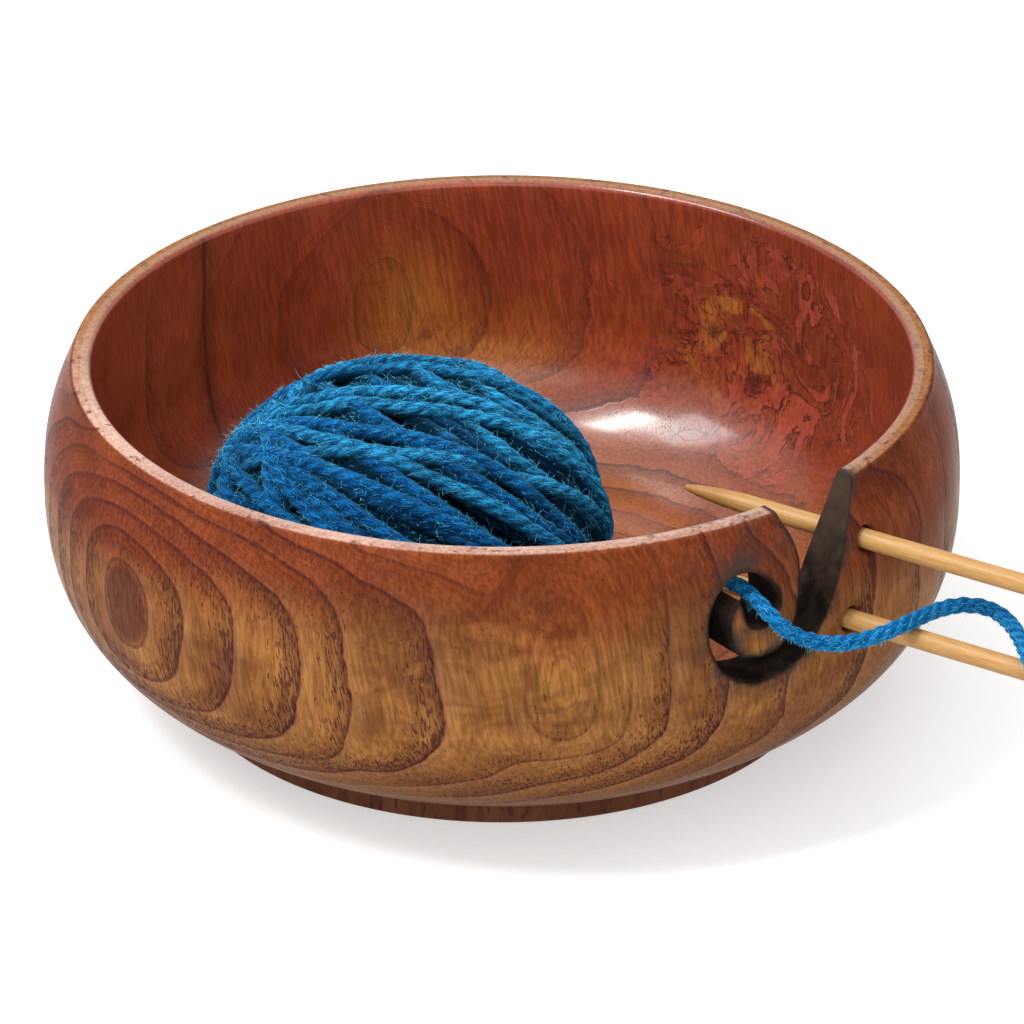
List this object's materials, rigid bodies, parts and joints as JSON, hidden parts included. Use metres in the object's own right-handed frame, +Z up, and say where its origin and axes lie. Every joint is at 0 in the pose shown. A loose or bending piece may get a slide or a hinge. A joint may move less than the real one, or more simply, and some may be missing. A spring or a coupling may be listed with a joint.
{
  "type": "yarn bowl",
  "caption": "Round turned wooden bowl with a low foot, a spiral yarn guide cut down from the rim, needle holes, and its load of yarn ball, working yarn and needles.",
  "frame": {"origin": "on the bowl's axis, at the plane of the foot's underside that it stands on", "axes": "+Z up along the bowl's axis; the yarn guide and the needle holes are in the wall between -Y and +X, and the needles point outwards to +X and -Y"},
  "size_m": [0.2502, 0.2102, 0.0715],
  "materials": {
    "bowl_wood": "turned red-brown hardwood, waxed to a satin gloss, with dark growth rings; the yarn guide's cut faces are scorched black",
    "foot_wood": "pinkish brown hardwood, matt, with short dark pores",
    "ball_yarn": "bright blue plied yarn with a soft halo of fibres",
    "loose_yarn": "bright blue plied yarn",
    "bamboo": "pale polished bamboo with fine straight fibres"
  },
  "bodies": {
    "bowl": {"bowl_body": "bowl_wood", "foot": "foot_wood", "working_yarn": "loose_yarn", "yarn_coil": "loose_yarn"},
    "ball": {"yarn_ball": "ball_yarn"},
    "upper_needle": {"needle_upper": "bamboo"},
    "lower_needle": {"needle_lower": "bamboo"}
  },
  "joints": [
    {"name": "ball_spin", "type": "hinge", "parent": "bowl", "child": "ball", "pos_m": [-0.0175, -0.0178, 0.0411], "axis": [0, 0, 1], "continuous": true},
    {"name": "upper_needle_slide", "type": "slide", "parent": "bowl", "child": "upper_needle", "axis": [0.8443, -0.5358, 0], "range_m": [-0.018, 0.026]},
    {"name": "lower_needle_slide", "type": "slide", "parent": "bowl", "child": "lower_needle", "axis": [0.8443, -0.5358, 0], "range_m": [-0.01, 0.026]}
  ]
}
